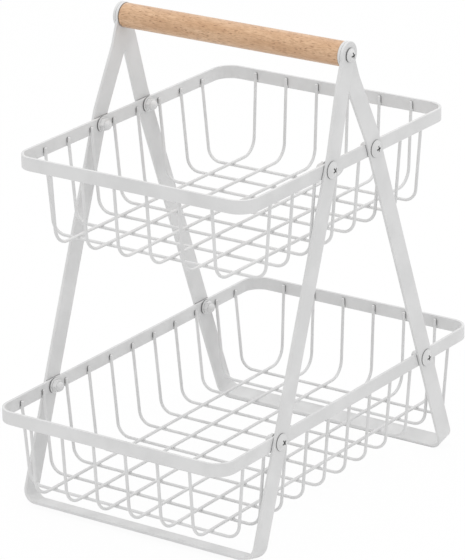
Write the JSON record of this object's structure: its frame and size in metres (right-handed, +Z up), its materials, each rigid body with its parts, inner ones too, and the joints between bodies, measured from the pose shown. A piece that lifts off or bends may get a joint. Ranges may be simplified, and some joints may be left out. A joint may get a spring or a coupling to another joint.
{
  "type": "tiered wire basket",
  "caption": "Tiered wire basket: welded wire trays bolted one above the other between crossed U-shaped strap frames, with a round wooden grip on top for carrying.",
  "frame": {"origin": "on the table, under the middle of the grip, where the foot bars rest", "axes": "+Z up, +X along the grip, +Y from front to back along the longer side of the trays"},
  "size_m": [0.1978, 0.308, 0.328],
  "materials": {
    "coated_strap": "satin white powder coat",
    "coated_wire": "satin white powder coat",
    "coated_fasteners": "white coat",
    "beech_wood": "clear satin",
    "insert_brass": "plain"
  },
  "bodies": {
    "stand": {"front_frame": "coated_strap", "lower_end_wire_01": "coated_wire", "lower_end_wire_02": "coated_wire", "lower_end_wire_03": "coated_wire", "lower_end_wire_04": "coated_wire", "lower_end_wire_05": "coated_wire", "lower_end_wire_06": "coated_wire", "lower_rim": "coated_strap", "lower_side_wire_01": "coated_wire", "lower_side_wire_02": "coated_wire", "lower_side_wire_03": "coated_wire", "lower_side_wire_04": "coated_wire", "lower_side_wire_05": "coated_wire", "lower_side_wire_06": "coated_wire", "lower_side_wire_07": "coated_wire", "lower_side_wire_08": "coated_wire", "lower_side_wire_09": "coated_wire", "lower_side_wire_10": "coated_wire", "lower_side_wire_11": "coated_wire", "lower_tray_bolts": "coated_fasteners", "lower_tray_nuts": "coated_fasteners", "rear_frame": "coated_strap", "upper_end_wire_01": "coated_wire", "upper_end_wire_02": "coated_wire", "upper_end_wire_03": "coated_wire", "upper_end_wire_04": "coated_wire", "upper_end_wire_05": "coated_wire", "upper_end_wire_06": "coated_wire", "upper_rim": "coated_strap", "upper_side_wire_01": "coated_wire", "upper_side_wire_02": "coated_wire", "upper_side_wire_03": "coated_wire", "upper_side_wire_04": "coated_wire", "upper_side_wire_05": "coated_wire", "upper_side_wire_06": "coated_wire", "upper_side_wire_07": "coated_wire", "upper_side_wire_08": "coated_wire", "upper_tray_bolts": "coated_fasteners", "upper_tray_nuts": "coated_fasteners"},
    "handle": {"grip": "beech_wood", "grip_inserts": "insert_brass", "grip_screws": "coated_fasteners"}
  },
  "joints": [
    {"name": "grip_turn", "type": "hinge", "parent": "stand", "child": "handle", "pos_m": [0, 0, 0.319], "axis": [1, 0, 0], "continuous": true}
  ]
}
